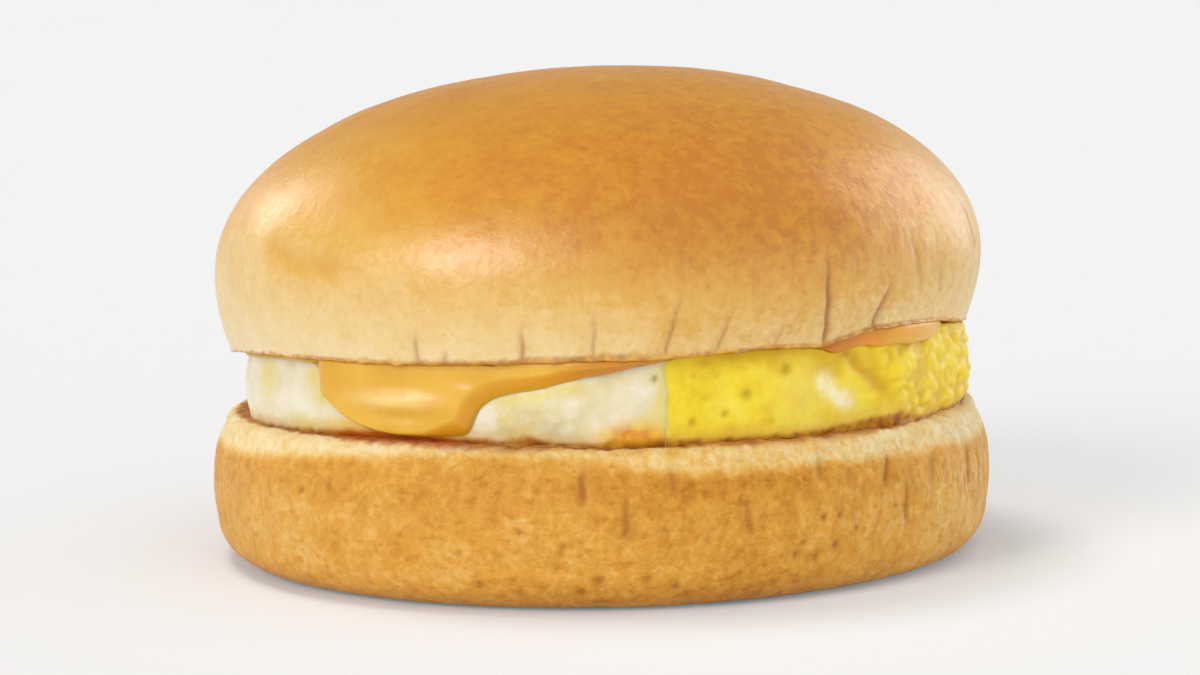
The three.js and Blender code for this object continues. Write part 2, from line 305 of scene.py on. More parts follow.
def coat(tree, shader, colour, roughness, soft, layers):
    # soft is the share of light that goes under the surface, how far it spreads there in red,
    # green and blue, and the scale of that; layers of relief are (height value, millimetres)
    weight, radii, scale = soft
    feed(tree, shader, {
        "Base Color": colour, "Roughness": roughness, "Subsurface Weight": weight,
        "Subsurface Radius": radii, "Subsurface Scale": scale * 0.001,
    })
    normal = None
    for height, size in layers:
        node = addNode(tree, "Bump", {"Strength": 1.0, "Distance": size * 0.001, "Height": height})
        if normal is not None:
            tree.links.new(normal, node.inputs["Normal"])
        normal = node.outputs[0]
    tree.links.new(normal, shader.inputs["Normal"])


# the forms that the layers share

heelShape = dict(
    widest=50, height=18.9, foot=43.9, footRound=5.5, footTaper=0.4,
    rim=48.4, rimRound=1.6, rimTaper=3, waist=9.2, faceFrom=20, faceTo=46,
    faceWaves=[[2, 0.35, -15], [3, 0.15, -20], [5, 0.1, 40]],
    faceDips=[[-14, 0.26, 9], [3, 0.3, 8]],
    footWaves=[[1, 0.25, 90]],
    sideWaves=[[1, 0.15, -90], [2, 0.18, 30], [3, 0.15, 80], [6, 0.12, 10], [13, 0.07, 35]],
)
crownShape = dict(
    widest=49.2, base=27.1, waist=36.3, top=61.6, edge=47.3, lip=0.35, lipTaper=1.9, fullness=2.07,
    tiltBack=1.8, tiltRight=1.35, waistTilt=0.75, domeTilt=0.6, lean=0.9, leanFrom=58, faceFrom=32,
    edgeWaves=[[7, 0.12, 20], [11, 0.08, 5]],
    sideWaves=[[2, 0.2, -20], [3, 0.22, 100], [7, 0.12, 24], [12, 0.08, 8]],
    # where the lower edge is lifted: millimetres and half width
    lifts=[
        [52, 1.5, 14], [-52, 1.1, 17], [24, 0.25, 12], [-72, 0.6, 12], [-10, 0.4, 12], [8, -0.22, 7],
        [33.5, -0.45, 4], [43.5, 0.3, 4.5], [64, 0.3, 6],
    ],
)
eggShape = dict(
    radius=45.3, shoulder=2.2, bareShoulder=0.3, foot=0.12, belly=0.5, restGap=0.05, sink=0.12,
    foldOut=0.6, foldSpan=[(44, 52), (84, 100)], step=0.1, brow=1.0,
    sideWaves=[[1, 0.42, 90], [5, 0.25, 12], [9, 0.3, -38], [14, 0.18, 3]],
)
sliceShape = dict(
    half=39, turn=14, squareness=6, thick=1.9, drop=3.7,
    # how much each corner sags, and its half width
    corners=[[-31, 0.75, 34], [59, 0.035, 30], [149, 0.16, 30], [239, 0.2, 30]],
    drapeSpan=[(-50, -46.6), (-22, -13)], thinFrom=34, thinTo=43,
    # how much of its thickness the bun has pressed out of the slice
    pressed=[
        [-100, 0], [-85, 0.6], [-75, 0.84], [-49, 0.84], [-46.6, 0.4], [-44, 0], [-8, 0], [-5, 0.07],
        [0, 0.42], [3, 0.57], [5, 0.75], [7, 0.87], [9, 0.94], [33, 0.94], [35, 0.8], [37.5, 0.3],
        [40, 0.35], [43, 0.22], [46, 0.1], [60, 0.1], [64, 0.4], [67, 0.85], [78, 0.85], [90, 0.4], [100, 0],
    ],
    # height of the front edge's lower border
    front=[
        [-46.7, 28], [-46.4, 26.8], [-46.1, 25.6], [-45.6, 24.7], [-44.8, 24], [-43.6, 23.3],
        [-42.3, 22.5], [-40.4, 21.6], [-37.4, 20.65], [-34, 20.05], [-31, 19.85], [-24, 19.8],
        [-21.2, 19.9], [-20, 20.2], [-19.2, 20.8], [-18.6, 22], [-17.8, 23.3], [-16.2, 24.3],
        [-14.5, 24.85], [-12.8, 25.2], [-10.2, 25.5], [-7.5, 25.95], [-5, 26.5], [-1.8, 27.1],
        [0.5, 27.4], [3, 27.8], [5, 28.2], [7, 28.4], [9.2, 28.8],
    ],
    frontSpan=[(-47.6, -46.6), (9, 11)],
    # elsewhere: how far past the egg's shoulder the slice reaches
    rest=[
        [-95, -3], [-85, -1], [-78, 0.3], [-72, 0.45], [-46, 0.45], [8, 0.2], [10, -0.5], [14, -4],
        [30, -3], [33.5, -0.8], [35.5, 0.2], [40, 0.4], [44, 0.3], [47, 0.6], [50, 0.4], [54, 0.75],
        [58, 0.55], [61, 0.7], [63, 0.3], [65, -0.8], [70, -2.5], [85, -3.4],
    ],
    restSpan=[(-100, -90), (82, 92)],
)


def heelFace(bearing, radius):
    form = heelShape
    height = waves(bearing, form["faceWaves"]) - bumps(bearing, form["faceDips"])
    return form["height"] + smooth(radius, form["faceFrom"], form["faceTo"]) * height


def crownEdge(bearing):
    form = crownShape
    tilt = waves(bearing, [[1, form["tiltBack"], 0], [1, form["tiltRight"], 90]])
    return tilt, waves(bearing, form["edgeWaves"]) + bumps(bearing, form["lifts"])


def crownFace(bearing, radius):
    form = crownShape
    tilt, lift = crownEdge(bearing)
    nearEdge = smooth(radius, form["faceFrom"], form["edge"])
    return form["base"] + tilt * radius / form["edge"] + lift * nearEdge


def eggSide(bearing):
    form = eggShape
    fold = form["foldOut"] * between(bearing, *form["foldSpan"])
    return form["radius"] + fold + waves(bearing, form["sideWaves"])


def shoulderSize(bearing):
    # the egg's edge is well rounded only where the cheese lies over it
    draped = between(bearing, *sliceShape["drapeSpan"])
    return mix(eggShape["bareShoulder"], eggShape["shoulder"], draped)


def shoulderStart(bearing):
    return eggSide(bearing) - shoulderSize(bearing)


def sliceDepth(bearing, radius):
    form = sliceShape
    pressed = through(bearing, form["pressed"])
    return form["thick"] * (1 - pressed * smooth(radius, form["thinFrom"], form["thinTo"]))


def sliceBed(bearing, radius):
    gap = eggShape["restGap"]
    return crownFace(bearing, radius) - gap - sliceDepth(bearing, radius) - gap


def frontRun(bearing, start):
    # millimetres past the egg's shoulder at which the front edge comes down to its height
    level = through(bearing, sliceShape["front"], 0.35)
    shoulder = shoulderSize(bearing)
    above = level - sliceBed(bearing, start) + shoulder
    arc = shoulder * np.arccos(np.clip(above / (shoulder + eggShape["restGap"]), 0, 1))
    return arc + np.maximum(0, -above)


def sliceReach(bearing):
    # how far the cheese reaches, measured along the egg's top and down its side
    form = sliceShape
    off = np.radians(bearing - form["turn"])
    power = form["squareness"]
    square = form["half"] * (np.abs(np.cos(off)) ** power + np.abs(np.sin(off)) ** power) ** (-1 / power)
    start = shoulderStart(bearing)
    sag = bumps(bearing, form["corners"]) * np.maximum(0, square - start) ** 2
    reach = np.minimum(square, start) + np.minimum(sag, form["drop"])
    seen = between(bearing, *form["restSpan"])
    reach = mix(reach, start + through(bearing, form["rest"]), seen)
    front = between(bearing, *form["frontSpan"])
    return mix(reach, start + frontRun(bearing, start), front)


def eggTop(bearing, radius):
    form = eggShape
    reach = sliceReach(bearing)
    bare = crownFace(bearing, radius) - form["restGap"]
    uncovered = smooth(shoulderStart(bearing) - reach, 0.2, 1.2)
    rise = smooth(radius - reach, form["step"], form["brow"])
    return mix(sliceBed(bearing, radius), bare, uncovered * rise)


def eggBelly(share):
    return eggShape["belly"] * np.sin(math.pi * np.clip(share, 0, 1))


# crust, the same for crown and heel but for its dictionary

def creases(lines, bearing, z, radius):
    # depth of baked creases, and a mask of their cores, where shade is painted into the colour
    depth = 0
    core = 0
    for top, bottom, high, low, deep, wide in lines:
        along = np.clip((z - low) / (high - low), 0, 1)
        # each crease wanders by up to 0.14 mm in its own way
        wander = 0.08 * np.sin((0.5 + 0.3 * math.sin(3 * top)) * z + 5 * top) + 0.06 * np.sin(1.9 * z + top)
        away = np.radians(turned(bearing, mix(bottom, top, along))) * radius + wander
        fade = between(z, (low - 1, low + 1), (mix(low, high, 0.45), high))
        line = np.exp(-(away / wide) ** 2) * fade
        soft = np.exp(-(away / (3.2 * wide)) ** 2) * fade
        depth = depth + deep * (0.6 * line + 0.4 * soft)
        core = np.maximum(core, (0.75 * line + 0.25 * soft) * min(1, 0.25 + deep / 0.6))
    return depth, core


def pits(places, bearing, z, radius):
    # small round hollows: bearing, height, half width and depth of each, and a mask of their cores, where
    # shade is painted into the colour
    depth = 0
    core = 0
    for at, height, wide, deep in places:
        away = (np.radians(turned(bearing, at)) * radius) ** 2 + (z - height) ** 2
        one = np.exp(-away / wide ** 2)
        depth = depth + deep * one
        core = np.maximum(core, one * min(1, 4 * deep))
    return depth, core


def fineCracks(grid, bearing, look, shift):
    # short upright cracks, most of them at the right and at one place behind
    size, tall, thin, low = look["crackKind"]
    folds = grain(grid, size, 2, (1, 1, tall), shift)
    lines = smooth(1 - np.abs(folds) * thin, low, 1)
    share = between(bearing, *look["crackedRight"]) + bumps(bearing, look["crackedBehind"])
    return lines * mix(0.12, 1, share)


def crustFinish(name, look):
    finish, tree, shader = newFinish(name)
    broad = speckle(tree, 5, 2, shift=2)
    mottle = speckle(tree, look["mottleSize"], 3, 0.65, shift=4, low=0.42, high=0.66)
    fine = speckle(tree, 0.9, 3, 0.5, shift=5)
    flecks = speckle(tree, 1.1, 2, 0.5, stretch=(1.3, 1.3, 0.8), shift=21, low=0.56, high=0.7)
    # thin pale flakes run between the darker cells of the crust
    cells = calc(tree, "ABSOLUTE", timesPlus(tree, speckle(tree, look["flakeSize"], 2, 0.55, shift=8), 2, -1))
    flakes = calc(tree, "POWER", calc(tree, "SUBTRACT", 1, cells), 5)
    baked = held(tree, "bake")
    rough = times(tree, calc(tree, "SUBTRACT", fine, 0.5), look["grain"])
    rough = timesPlus(tree, flecks, look["flecks"], rough)
    rough = timesPlus(tree, calc(tree, "SUBTRACT", flakes, 0.15), -look["flakes"], rough)
    blots = times(tree, calc(tree, "SUBTRACT", mottle, 0.35), times(tree, baked, look["mottle"]))
    rough = times(tree, calc(tree, "ADD", rough, blots), held(tree, "lively"))
    bake = timesPlus(tree, calc(tree, "SUBTRACT", broad, 0.5), 0.1, baked)
    colour = ramp(tree, calc(tree, "ADD", bake, rough), look["stops"])
    # crease and pit cores are painted darker: painted shade in the hollows
    for key in ("creaseShade", "pitShade"):
        colour = paints(tree, colour, [(key, look[key + "Strength"], look["shadeTone"])])
    crumbs = speckle(tree, 1.6, 3, 0.6, shift=14)
    toasted = ramp(tree, crumbs, [(0.2, look["toastLight"]), (0.8, look["toastDark"])])
    colour = paint(tree, held(tree, "toast"), colour, toasted)
    scorch = times(tree, held(tree, "scorch"), timesPlus(tree, crumbs, 0.6, 0.4))
    colour = paint(tree, scorch, colour, look["scorchTone"])
    feed(tree, shader, {
        "Specular IOR Level": look["gloss"], "Sheen Weight": look["sheen"], "Sheen Roughness": 0.5,
    })
    roughness = timesPlus(tree, fine, 0.08, look["rough"])
    layers = [(mottle, look["bump"]), (fine, look["bump"]), (flakes, look["bump"] * 0.6)]
    coat(tree, shader, colour, roughness, (0.12, (2.4, 1.3, 0.6), 1.0), layers)
    return finish


# crown of the bun

crownDetail = dict(
    faceRows=20, lipRows=6, sideRows=26, domeRows=92,
    swell=(0.22, 14, 1, 3), calmTop=(56, 61), ripple=(0.05, 4.5, 2, 11), skin=(0.022, 1.3, 2, 19),
    edgeCrumb=(0.17, 1.6, 3, 5),
    # size and tallness of the cracks, how thin they are and where they start
    crack=0.05, crackKind=(1.5, 8, 4.5, 0.3), crackHeights=[(27, 29), (38, 46)],
    crackedRight=[(-8, 30), (90, 120)], crackedBehind=[[-145, 0.8, 30]],
    # how baked the crust is, 0 pale to 1 brown, and the height where it starts to brown
    palest=0.14, bakeRise=0.66, bakeFrom=24, bakeSpan=26, bakeShifts=[[-70, 3.5, 45], [22, -3, 28]],
    patchy=(0.05, 11, 2, 31),
    # how much browner the crust is, and half width; the paler place at bearing 78 is partly paler crust and
    # partly a painted highlight
    browner=[[20, 0.15, 32], [-56, -0.15, 26], [78, -0.18, 24], [-150, 0.05, 40]],
    brownerHeights=[(34, 44), (52, 60)],
    # the dimple is also painted browner along its line: painted shade in the hollow
    dimple=[[-53.5, 41], [-46, 39.7], [-39, 39.3]], dimpleWide=1.3, dimpleDeep=0.35, dimpleShade=0.15,
    # how lively the crust's grain is
    lively=[
        [-180, 0.8], [-120, 0.6], [-45, 0.45], [-20, 0.5], [5, 0.7], [30, 0.95], [90, 1], [150, 0.8],
        [180, 0.8],
    ],
    # how far above its lower edge the crown is browned
    brownRim=[
        [-180, 0.3], [-70, 0.25], [-50, 0.35], [-40, 0.55], [-26, 0.65], [-11, 0.65], [-4, 0.75], [0, 1],
        [6, 1], [10, 0.6], [20, 0.45], [33, 0.45], [38, 0.65], [46, 0.5], [60, 0.45], [70, 0.3], [180, 0.3],
    ],
    ragged=(0.25, 1.2, 3, 37),
    # crumbs that hang at the lower edge: millimetres and half width
    crumbs=[
        [20.3, 0.4, 0.8], [15.2, 0.25, 0.5], [12.6, 0.2, 0.7], [-6.5, 0.2, 0.6], [-14.5, 0.22, 0.8],
        [-29.5, 0.25, 0.7], [-36, 0.2, 0.5], [27.5, 0.2, 0.6], [-52, 0.25, 0.9], [3.5, 0.18, 0.5],
        [43, 0.15, 0.6],
    ],
    # top and bottom bearing, high and low end, depth, half width
    creases=[
        [32.9, 34.4, 43, 28.5, 0.7, 0.34], [46.6, 43, 38, 28.5, 0.7, 0.34],
        [11.6, 8.6, 38.5, 27, 0.3, 0.24], [19.2, 15.8, 36, 28, 0.25, 0.22],
        [-0.4, -1, 36.5, 27, 0.22, 0.22], [-10, -10.9, 34.5, 27, 0.35, 0.26],
        [-21.2, -22, 31.2, 27, 0.25, 0.22], [-25.2, -26, 33.2, 28, 0.25, 0.26],
        [26.8, 25, 33, 29, 0.15, 0.24], [35.2, 36, 43, 38, 0.08, 0.35],
        [38, 38.4, 43, 37, 0.06, 0.35], [50, 53, 43, 36, 0.14, 0.34], [58, 59, 41, 34, 0.08, 0.35],
        [72, 74, 47, 38, 0.45, 0.4], [80, 81, 46, 34, 0.35, 0.4],
        [118, 116, 38, 28, 0.6, 0.4], [140, 141, 41, 28, 0.8, 0.45], [165, 163, 37, 27, 0.5, 0.35],
        [-170, -171, 36, 27, 0.4, 0.35], [-150, -147, 40, 28, 0.8, 0.45],
        [-122, -123, 37, 27, 0.5, 0.35], [-96, -95, 36, 27, 0.4, 0.35],
    ],
    speckCount=60, speckHeights=(34, 60), speckWidths=(0.14, 0.26), speckDeep=0.08, seed=4,
)
crownCrust = dict(
    stops=[
        (0.0, (244, 226, 182)), (0.25, (236, 203, 132)), (0.5, (223, 171, 64)),
        (0.75, (215, 147, 24)), (1.0, (198, 121, 6)),
    ],
    rough=0.35, gloss=1.0, sheen=0, grain=0.1, mottle=0.26, mottleSize=1.7, bump=0.016,
    flecks=0.12, flakes=0.06, flakeSize=2.4, pitShadeStrength=0.6, creaseShadeStrength=0.92,
    # the shade tone is painted shade for the cores of creases and pits
    shadeTone=(172, 106, 4), toastLight=(228, 166, 42), toastDark=(178, 112, 8),
    scorchTone=(190, 96, 16),
)


def crownForm():
    form, look = crownShape, crownDetail
    bearing = bearings([line[0] for line in look["creases"]])
    tilt, lift = crownEdge(bearing)
    edge, lip, waist = form["edge"], form["lip"], form["waist"]

    def swell(z):
        return (1 - smooth(z, waist, form["top"])) * waves(bearing, form["sideWaves"])

    radius = (edge - lip) * fromMiddle(look["faceRows"])
    rows = [(radius, crownFace(bearing, radius))]

    turn = shares(look["lipRows"]) * quarter
    radius = edge - lip * (1 - np.sin(turn)) + swell(form["base"]) * np.sin(turn) ** 2
    rows.append((radius, crownFace(bearing, edge) + lip * (1 - np.cos(turn))))

    share = shares(look["sideRows"])
    level = mix(form["base"] + lip, waist, share)
    radius = mix(form["widest"], edge, (1 - share) ** form["lipTaper"]) + swell(level)
    rows.append((radius, level + tilt * mix(1, form["waistTilt"], share) + lift * (1 - share)))

    share = shares(look["domeRows"])[:-1]
    power = 2 / form["fullness"]
    out = np.cos(share * quarter) ** power
    level = waist + (form["top"] - waist) * np.sin(share * quarter) ** power
    radius = out * (form["widest"] + swell(level))
    rows.append((radius, level + tilt * form["waistTilt"] * out * (1 - form["domeTilt"] * share)))
    return bearing, *stackRows(rows, bearing)


def makeCrown():
    form, look = crownShape, crownDetail
    bearing, radius, z = crownForm()
    grid = ringPoints(radius, z, bearing, form["lean"] * smooth(z, form["leanFrom"], form["top"]))
    past = np.arange(len(z))[:, None] - look["faceRows"]  # rows past the cut face
    onSide = smooth(past, 1, look["lipRows"] + 3)
    underside = 1 - smooth(past, -1, 3)

    deep, line = creases(look["creases"], bearing, z, radius)
    cracks = fineCracks(grid, bearing, look, 7) * between(z, *look["crackHeights"])
    dimple = np.exp(-(lineDistance(bearing, z, look["dimple"]) / look["dimpleWide"]) ** 2)
    rng = np.random.default_rng(look["seed"])
    specks = []
    for _ in range(look["speckCount"]):
        place = [rng.uniform(*span) for span in ((-180, 180), look["speckHeights"], look["speckWidths"])]
        specks.append(place + [look["speckDeep"]])
    pitDeep, pitCore = pits(specks, bearing, z, radius)

    push = -deep - look["crack"] * cracks - look["dimpleDeep"] * dimple - pitDeep
    push = push + (1 - smooth(z, *look["calmTop"])) * lumps(grid, look["swell"])
    push = push + lumps(grid, look["ripple"]) + lumps(grid, look["skin"])
    push = push * onSide + np.exp(-((past - 3) / 5) ** 2) * lumps(grid, look["edgeCrumb"])
    push = push + bumps(bearing, look["crumbs"]) * np.exp(-((past - 2) / 3.5) ** 2)
    grid = grid + outward(grid) * push[..., None]

    brownFrom = look["bakeFrom"] + bumps(bearing, look["bakeShifts"])
    bake = look["palest"] + look["bakeRise"] * smooth(z, brownFrom, brownFrom + look["bakeSpan"])
    # painted shade: the crust is browner along the dimple
    bake = bake + lumps(grid, look["patchy"]) + look["dimpleShade"] * dimple
    bake = bake + bumps(bearing, look["browner"]) * between(z, *look["brownerHeights"])
    above = z - crownFace(bearing, form["edge"]) + lumps(grid, look["ragged"])
    rim = 1 - smooth(above / through(bearing, look["brownRim"], 1.5), 0.6, 1.3)
    # the crease and pit masks carry painted shade into the crust's colour
    mesh = ringMesh("crown", grid, dict(
        bake=bake, creaseShade=np.maximum(line, 0.15 * cracks), pitShade=pitCore,
        toast=np.maximum(underside, 0.9 * rim * smooth(past, -2, 1)),
        lively=through(bearing, look["lively"], 4) * (1 - 0.3 * smooth(z, 50, 59)),
    ))
    addPiece("crown", mesh, crustFinish("crown crust", crownCrust), "bun_crown")


# heel of the bun

heelDetail = dict(
    footRows=16, roundRows=22, sideRows=46, rimRows=8, faceRows=24,
    swell=(0.16, 11, 1, 43), ripple=(0.05, 3, 2, 47), skin=(0.04, 1, 3, 53),
    rimCrumb=(0.24, 1.5, 3, 59), rimSunk=0.036,
    crack=0.1, crackKind=(1.6, 4, 3.5, 0.4),
    crackedRight=[(15, 40), (95, 120)], crackedBehind=[[180, 0.7, 30]],
    # how baked the crust is, 0 pale to 1 brown, with a browner belt, and darker towards the bottom
    bake=0.57, patchy=(0.07, 9, 2, 71), belt=[[14.5, 0.1, 2.5]], footDarker=0.16,
    # how much browner the crust is, and half width
    browner=[[66, -0.12, 20], [18, 0.09, 12], [-44, -0.05, 14]],
    paleBake=0.16, paleFront=0.14, paleFrontSpan=[(-20, 5), (25, 45)],
    ragged=(0.22, 4, 2, 61), frayed=(0.2, 1.1, 2, 67), ringRagged=(0.5, 1.2, 2, 73),
    # height at which the pale band under the cut edge ends
    band=[
        [-180, 16.4], [-90, 15.6], [-65, 15.4], [-54, 16.4], [-46, 17.1], [-37, 17.2], [-29, 18.1],
        [-14, 18.4], [-4, 18.1], [4, 16.8], [10, 16], [16, 15.8], [35, 15.9], [57, 15.4], [72, 15],
        [100, 16], [180, 16.4],
    ],
    # radius inside which the cut face is toasted
    ring=[
        [-180, 46.8], [-84, 47.2], [-70, 46.8], [-60, 46.2], [-48, 46.8], [-41, 47.5], [-33, 48.1],
        [-12, 48.5], [-3, 47.6], [6, 46.6], [14, 47.7], [24, 48.2], [33, 48.5], [42, 48.2], [50, 47.1],
        [60, 46.1], [90, 46.2], [180, 46.8],
    ],
    scorchSpan=[(-47, -40), (-24, -17)],
    creases=[
        [-2.5, -2.5, 18, 13, 0.45, 0.4], [3.4, 3.2, 15, 9, 0.4, 0.4], [9.5, 9.4, 18, 14, 0.3, 0.36],
        [19.4, 20.2, 13.5, 8.5, 0.35, 0.36], [32.4, 31, 18, 14.5, 0.4, 0.36],
        [36.2, 36, 16.5, 12.5, 0.2, 0.36], [44.8, 42.6, 17.5, 12.5, 0.5, 0.4],
        [47.2, 47, 14.5, 7.5, 0.4, 0.4], [54.5, 53, 17, 11, 0.25, 0.4],
        [66, 64.4, 17, 10, 0.5, 0.42], [71, 70, 16, 9, 0.4, 0.45],
        [96, 97, 17, 7, 0.4, 0.4], [125, 124, 18, 8, 0.5, 0.4],
        [152, 154, 17, 9, 0.4, 0.36], [-168, -168, 18, 8, 0.5, 0.4], [-140, -142, 17, 8, 0.4, 0.36],
        [-110, -109, 18, 10, 0.4, 0.36],
    ],
    # height, half width, depth; their cores get painted shade
    pits=[
        [-45.2, 13, 0.42, 0.4], [-0.5, 4, 0.6, 0.35], [-16.8, 3.4, 0.5, 0.3], [-5.2, 8.2, 0.35, 0.25],
        [9.8, 3, 0.5, 0.3], [-3, 2.6, 0.4, 0.25], [5.8, 4.2, 0.35, 0.25], [-11, 9.8, 0.4, 0.2],
        [31.2, 9.8, 0.4, 0.3], [33.8, 9.8, 0.4, 0.3], [33.2, 6.4, 0.5, 0.35], [30, 5.2, 0.4, 0.3],
        [26.8, 5.8, 0.45, 0.3], [36.8, 8, 0.35, 0.25], [28, 7.2, 0.35, 0.3],
    ],
    pitCount=80, pitLow=1.5, pitSpan=12, pitWidths=(0.2, 0.42), pitDepths=(0.06, 0.2), seed=9,
)
heelCrust = dict(
    stops=[
        (0.0, (244, 228, 184)), (0.3, (234, 194, 114)), (0.55, (222, 161, 60)),
        (0.8, (202, 136, 37)), (1.0, (180, 108, 30)),
    ],
    rough=0.6, gloss=0.25, sheen=0.06, grain=0.12, mottle=0.26, mottleSize=1.7, bump=0.1,
    flecks=0.14, flakes=0.12, flakeSize=3.2, pitShadeStrength=0.85, creaseShadeStrength=0.75,
    # the shade tone is painted shade for the cores of creases and pits
    shadeTone=(164, 100, 28), toastLight=(206, 138, 46), toastDark=(158, 92, 18),
    scorchTone=(196, 92, 10),
)


def heelForm():
    form, look = heelShape, heelDetail
    bearing = bearings([line[0] for line in look["creases"]])
    swell = waves(bearing, form["sideWaves"])
    foot = form["foot"] + waves(bearing, form["footWaves"])
    widest, rim, waist, footRound = form["widest"], form["rim"], form["waist"], form["footRound"]
    rimFoot = heelFace(bearing, rim) - form["rimRound"]

    share = fromMiddle(look["footRows"])
    rows = [(foot * share, 0 * share)]
    share = shares(look["roundRows"])
    turn = share * quarter
    radius = mix(foot, widest - form["footTaper"], np.sin(turn)) + swell * share
    rows.append((radius, footRound * (1 - np.cos(turn))))
    z = mix(footRound, rimFoot, shares(look["sideRows"]))
    above = np.maximum(0, z - waist) / (rimFoot - waist)
    below = np.maximum(0, waist - z) / (waist - footRound)
    inward = (widest - rim) * above ** form["rimTaper"] + form["footTaper"] * below ** 2
    rows.append((widest - inward + swell, z))
    turn = shares(look["rimRows"]) * quarter
    radius = rim - form["rimRound"] * (1 - np.cos(turn)) + swell * (1 - np.sin(turn))
    rows.append((radius, rimFoot + form["rimRound"] * np.sin(turn)))
    radius = (rim - form["rimRound"]) * (1 - 0.96 * shares(look["faceRows"]) ** 2)
    rows.append((radius, heelFace(bearing, radius)))
    return bearing, *stackRows(rows, bearing)


def makeHeel():
    look = heelDetail
    bearing, radius, z = heelForm()
    grid = ringPoints(radius, z, bearing)
    row = np.arange(len(z))[:, None]
    footRow = look["footRows"]
    rimRow = footRow + look["roundRows"] + look["sideRows"]
    faceRow = rimRow + look["rimRows"]
    onSide = between(row, (footRow + 1, footRow + 6), (rimRow, rimRow + 4))
    deep, line = creases(look["creases"], bearing, z, radius)
    cracks = fineCracks(grid, bearing, look, 27) * smooth(z, 5, 9)

    rng = np.random.default_rng(look["seed"])
    holes = list(look["pits"])
    for _ in range(look["pitCount"]):
        height = look["pitLow"] + look["pitSpan"] * rng.random() ** 1.6
        at, *sizes = [rng.uniform(*span) for span in ((-180, 180), look["pitWidths"], look["pitDepths"])]
        holes.append([at, height, *sizes])
    pitDeep, pitCore = pits(holes, bearing, z, radius)

    push = -deep - look["crack"] * cracks - pitDeep + lumps(grid, look["swell"])
    push = push + lumps(grid, look["ripple"]) + lumps(grid, look["skin"])
    crumb = between(row, (rimRow - 6, rimRow), (faceRow + 3, faceRow + 8))
    crumbs = lumps(grid, look["rimCrumb"]) - look["rimSunk"]
    grid = grid + outward(grid) * (push * onSide + crumb * crumbs)[..., None]

    ragged = lumps(grid, look["ragged"]) + lumps(grid, look["frayed"])
    band = through(bearing, look["band"], 4)
    pale = smooth(z + ragged, band - 0.9, band + 0.9)
    bake = look["bake"] + lumps(grid, look["patchy"]) + bumps(z, look["belt"])
    bake = bake + look["footDarker"] * (1 - smooth(z, 0.5, 5)) + bumps(bearing, look["browner"])
    paleBake = look["paleBake"] + look["paleFront"] * between(bearing, *look["paleFrontSpan"])
    bake = mix(bake, paleBake + 0.2 * ragged, pale)
    inner = through(bearing, look["ring"], 3) - radius + lumps(grid, look["ringRagged"])
    onFace = smooth(row, rimRow, faceRow)
    # the crease and pit masks carry painted shade into the crust's colour
    mesh = ringMesh("heel", grid, dict(
        bake=bake, creaseShade=np.maximum(line, 0.45 * cracks) * (1 - 0.4 * pale) * onSide,
        toast=smooth(inner, -0.1, 0.8) * onFace, pitShade=pitCore * onSide,
        scorch=smooth(inner, -0.6, 0.8) * onFace * between(bearing, *look["scorchSpan"]),
        lively=0.85 + 0.15 * bump(bearing, 10, 40),
    ))
    addPiece("heel", mesh, crustFinish("heel crust", heelCrust), "bun_heel")


# egg, cut into its white and its yolk by a wavy wall

eggDetail = dict(
    busy=[9.3, 10.5, 12, 128],
    underRows=12, footRows=6, sideRows=34, shoulderRows=8, topEdgeRows=8, topRows=8,
    curd=0.34, curdSize=5.5, lump=(0.1, 2, 2, 9), pimple=(0.02, 0.7, 2, 17),
    crumb=0.8, crumbSize=3, curdled=0.2, curdledSize=3.1,
    # how far above the heel the foot is browned
    browned=[
        [-100, 0.5], [-70, 0.35], [-56, 0.42], [-48, 0.75], [-42, 0.95], [-36, 1], [-28, 0.8],
        [-20, 0.75], [-14, 0.6], [-10.5, 1.2], [-8, 0.5], [-3, 0.5], [0, 0.7], [2, 1.5], [6, 1.9],
        [8.5, 1.5], [10, 0.7], [20, 0.6], [34, 0.65], [40, 1], [46, 1.5], [52, 1.7], [55, 1.3],
        [57, 0.6], [70, 0.5], [100, 0.5],
    ],
    brownedRagged=(0.25, 1.6, 2, 35),
    patch=[[34.8, 24.9], [37, 23.2], [39.6, 22.1]], patchWide=1.05, patchRagged=(0.7, 1.5, 3, 39),
    wallBearing=69, wallReach=60, wallRadius=54, wallWave=(0.35, 2.2, 2, 77), wallGap=0.003,
    # the yolk shows between these bearings, and is grainy from the second span on
    yolkFrom=9.2, yolkTo=(126, 129), grainyFrom=(38, 50),
    # height, half width, depth; their cores are painted darker, as painted shade
    yolkPits=[
        [22, 24.4, 0.65, 0.32], [13.5, 21.4, 0.45, 0.25], [18.5, 22.2, 0.4, 0.25], [28.5, 27, 0.6, 0.3],
        [26, 21, 0.35, 0.12], [15.5, 24.4, 0.5, 0.1], [13.8, 26.8, 0.4, 0.12], [17.5, 26.8, 0.4, 0.12],
    ],
    # the nick's core is painted dark: painted shade
    whitePits=[[8, 26.8, 0.35, 0.3]],
    # where the white is tinged with yellow: height, half width in degrees, half height; the first place, at
    # the far left under the crown's end, is painted shade
    tingedAndShaded=[
        [-64.5, 25, 3.2, 3], [-49, 26, 2.2, 1.6], [-46.5, 23.6, 2, 1.2], [-52, 20.2, 6, 0.9],
        [-14, 22, 1.2, 0.9], [31, 24, 5, 4], [8.5, 22.6, 1.2, 2.4], [-13, 24.4, 2, 1],
        [-9, 24.9, 2.5, 0.9], [-4, 25.8, 2.5, 0.7], [7.6, 21.7, 1.7, 1.3], [8.9, 24.5, 0.7, 4.5],
    ],
    # where the top of the yolk is painted darker, as painted shade at the fold's top and under the crown's
    # edge, and where the white is paler, in the same way
    shade=[[36.3, 27.2, 3.4, 1.9], [24, 29.2, 9, 0.9]],
    paler=[[1.5, 24, 5, 3]],
    fold=dict(top=(38.5, 29), bottom=(48.8, 22), deep=0.28, wide=1.5),
    scrap=[5.2, 20.3, 4.5, 1.05], scrapOut=0.5, scorchSpan=[(-47, -41), (-24, -18)],
)


